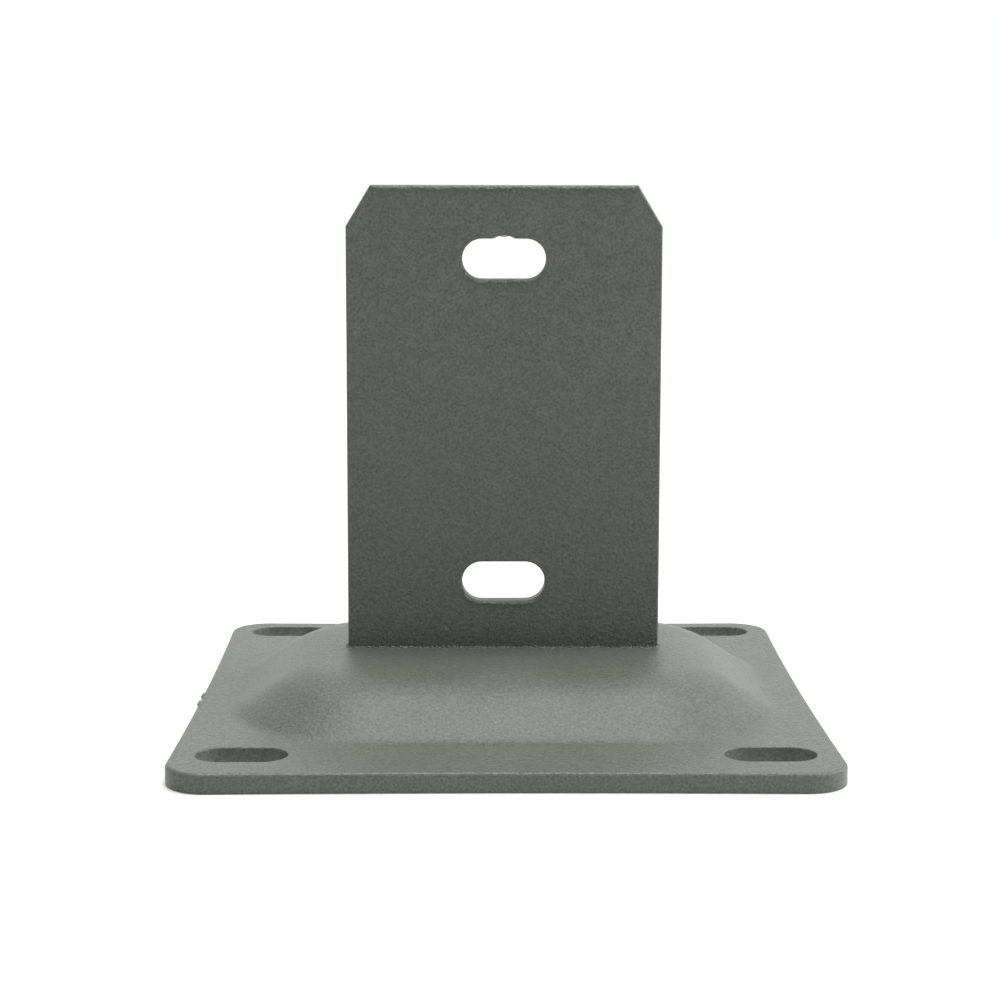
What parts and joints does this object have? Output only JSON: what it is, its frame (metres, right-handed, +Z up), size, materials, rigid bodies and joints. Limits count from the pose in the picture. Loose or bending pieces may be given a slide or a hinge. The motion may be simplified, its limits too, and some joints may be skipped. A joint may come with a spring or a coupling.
{
  "type": "timber post base",
  "caption": "Square steel foot plate with slotted corners and a pressed dome, and an upright blade with slots to bolt inside a timber post.",
  "frame": {"origin": "centre of the foot plate's underside, on the ground", "axes": "+X along the blade's width, +Y through the blade's thickness towards the rear edge, +Z up"},
  "size_m": [0.1502, 0.1502, 0.1299],
  "materials": {
    "coated_steel": "satin powder coat with a fine sandy texture",
    "coated_weld": "satin powder coat over a rippled weld bead"
  },
  "bodies": {
    "root": {"foot_plate": "coated_steel", "blade": "coated_steel", "front_weld": "coated_weld", "rear_weld": "coated_weld"}
  },
  "joints": []
}
